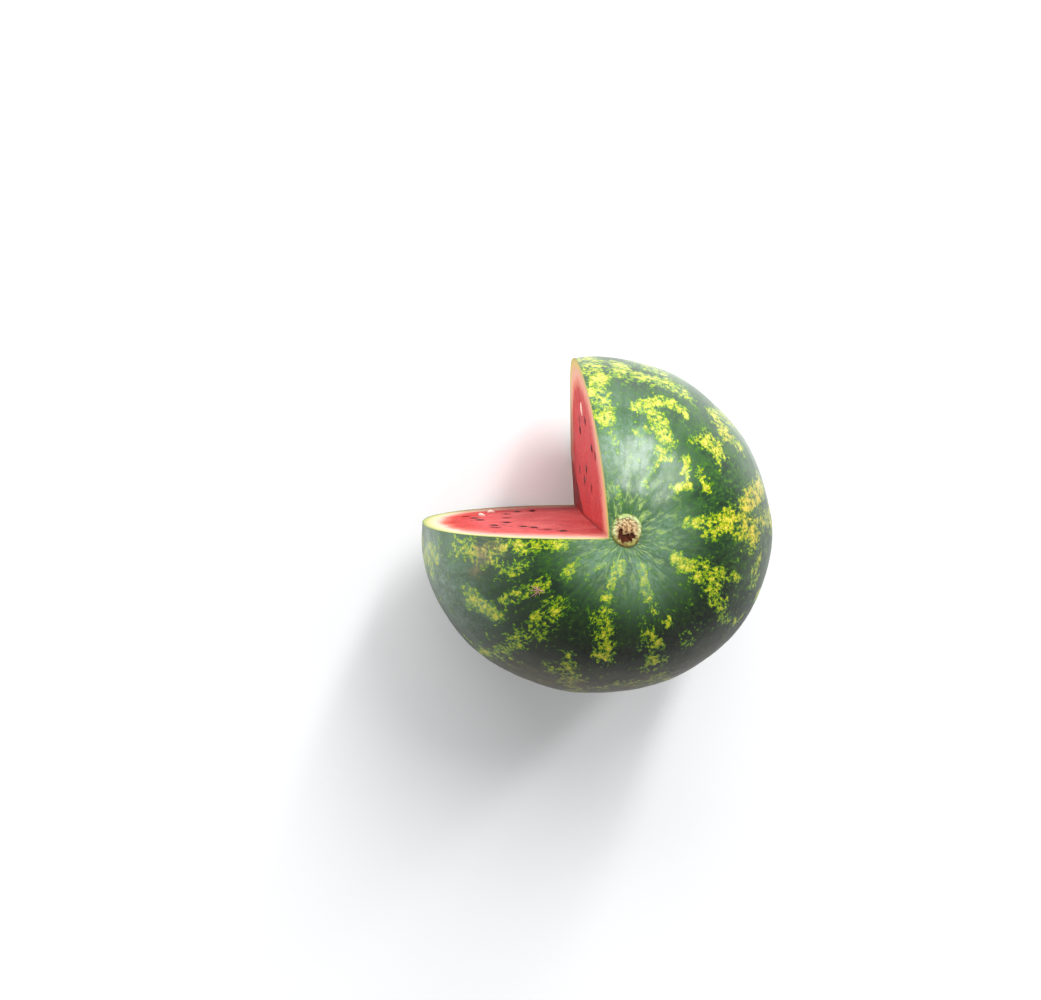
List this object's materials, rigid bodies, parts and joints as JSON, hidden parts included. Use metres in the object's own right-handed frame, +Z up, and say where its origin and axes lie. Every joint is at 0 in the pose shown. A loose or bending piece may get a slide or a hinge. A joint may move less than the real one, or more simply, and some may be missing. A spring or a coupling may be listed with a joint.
{
  "type": "cut watermelon",
  "caption": "Striped watermelon standing on its blossom end with a quarter wedge cut out, showing red flesh, pale rind, seeds and a corky stem stub.",
  "frame": {"origin": "middle of the small flat spot at the blossom end that the melon rests on", "axes": "+Z up along the melon's own axis to its stem end; the missing quarter is the one at -X and +Y, between cut face A, which looks along -X, and cut face B, which looks along +Y"},
  "size_m": [0.2442, 0.2356, 0.2662],
  "materials": {
    "melon_rind_and_flesh": "waxy dark green skin with broken yellow-green stripes over pale rind and wet red flesh",
    "stem_cork": "dry crinkled tan cork with a dark brown broken middle",
    "seed_coat_black": "smooth black-brown seed coat, wet",
    "seed_coat_pale": "soft unripe seed coat, cream, wet"
  },
  "bodies": {
    "root": {"melon": "melon_rind_and_flesh", "stem_stub": "stem_cork", "seed_01": "seed_coat_black", "seed_02": "seed_coat_black", "seed_03": "seed_coat_black", "seed_04": "seed_coat_black", "seed_05": "seed_coat_black", "seed_06": "seed_coat_black", "seed_07": "seed_coat_black", "seed_08": "seed_coat_black", "seed_09": "seed_coat_black", "seed_10": "seed_coat_black", "seed_11": "seed_coat_pale", "seed_12": "seed_coat_pale", "seed_13": "seed_coat_black", "seed_14": "seed_coat_black", "seed_15": "seed_coat_black", "seed_16": "seed_coat_black", "seed_17": "seed_coat_black", "seed_18": "seed_coat_pale"}
  },
  "joints": []
}
